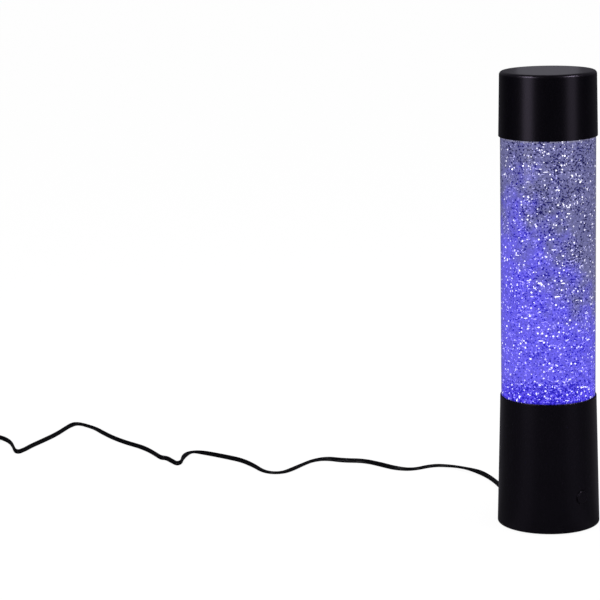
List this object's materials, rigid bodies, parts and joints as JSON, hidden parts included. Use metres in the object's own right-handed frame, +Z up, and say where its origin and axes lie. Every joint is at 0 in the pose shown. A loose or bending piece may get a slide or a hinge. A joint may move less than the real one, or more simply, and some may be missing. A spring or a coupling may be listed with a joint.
{
  "type": "glitter lamp",
  "caption": "Tall cylindrical glitter lamp: lit vessel of glitter liquid stirred by a hidden magnetic drive, black cap and base with push button and a low-voltage lead.",
  "frame": {"origin": "on the table, under the lamp's vertical axis", "axes": "+Z up along the lamp's axis; the push button faces -Y and the lead leaves at +Y"},
  "size_m": [0.3293, 0.5904, 0.35],
  "materials": {
    "black_abs": "satin",
    "black_rubber": "matte",
    "cord_pvc": "satin",
    "clear_acrylic": "gloss",
    "glitter_liquid": "gloss",
    "white_nylon": "satin",
    "black_nylon": "satin",
    "nickel_magnet": "polished",
    "steel": "satin",
    "zinc_screw": "satin",
    "motor_steel": "satin",
    "brass": "satin",
    "board_green": "satin",
    "chip_black": "matte",
    "light_white": "gloss",
    "wire_red": "satin",
    "wire_blue": "satin",
    "can_blue": "gloss"
  },
  "bodies": {
    "lamp": {"base_shell": "black_abs", "base_plate": "black_abs", "rubber_feet": "black_rubber", "plate_screws": "zinc_screw", "tank": "clear_acrylic", "tank_gasket": "black_rubber", "tank_lid": "black_nylon", "lid_seal": "black_rubber", "fill_plug": "black_rubber", "cap": "black_abs", "liquid": "glitter_liquid", "impeller_pin": "steel", "motor_can": "motor_steel", "motor_bush": "brass", "motor_end_cap": "white_nylon", "motor_terminals": "brass", "motor_bracket": "steel", "motor_screws": "zinc_screw", "bracket_screws": "zinc_screw", "light_board": "board_green", "light_chips": "light_white", "light_board_screws": "zinc_screw", "control_board": "board_green", "control_board_screws": "zinc_screw", "power_switch": "chip_black", "switch_pins": "brass", "control_chip": "chip_black", "capacitor": "can_blue", "wire_sockets": "white_nylon", "motor_wires": "wire_red", "light_wires": "wire_blue", "cord_bush": "black_rubber", "cord_clamp": "black_nylon", "clamp_screws": "zinc_screw", "inner_lead": "cord_pvc", "lead": "cord_pvc", "lead_coil": "cord_pvc", "coil_tie": "black_nylon", "lead_end": "cord_pvc", "plug_body": "black_rubber", "plug_shell": "steel", "plug_tongue": "white_nylon", "plug_contacts": "brass"},
    "rotor": {"magnet_carrier": "white_nylon", "drive_magnets": "nickel_magnet", "motor_shaft": "steel"},
    "stirrer": {"impeller": "white_nylon", "impeller_magnets": "nickel_magnet"},
    "button": {"push_button": "black_abs", "switch_plunger": "white_nylon"}
  },
  "joints": [
    {"name": "button_press", "type": "slide", "parent": "lamp", "child": "button", "axis": [0, 1, 0], "range_m": [0, 0.0015], "stiffness_N_per_m": 600, "springref_m": -0.001},
    {"name": "stirrer_spin", "type": "hinge", "parent": "lamp", "child": "stirrer", "pos_m": [0, 0, 0.09], "axis": [0, 0, 1], "continuous": true},
    {"name": "motor_spin", "type": "hinge", "parent": "lamp", "child": "rotor", "pos_m": [0, 0, 0.07], "axis": [0, 0, 1], "continuous": true}
  ],
  "couplings": [
    {"joint": "motor_spin", "follows": "stirrer_spin", "ratio": 1}
  ]
}
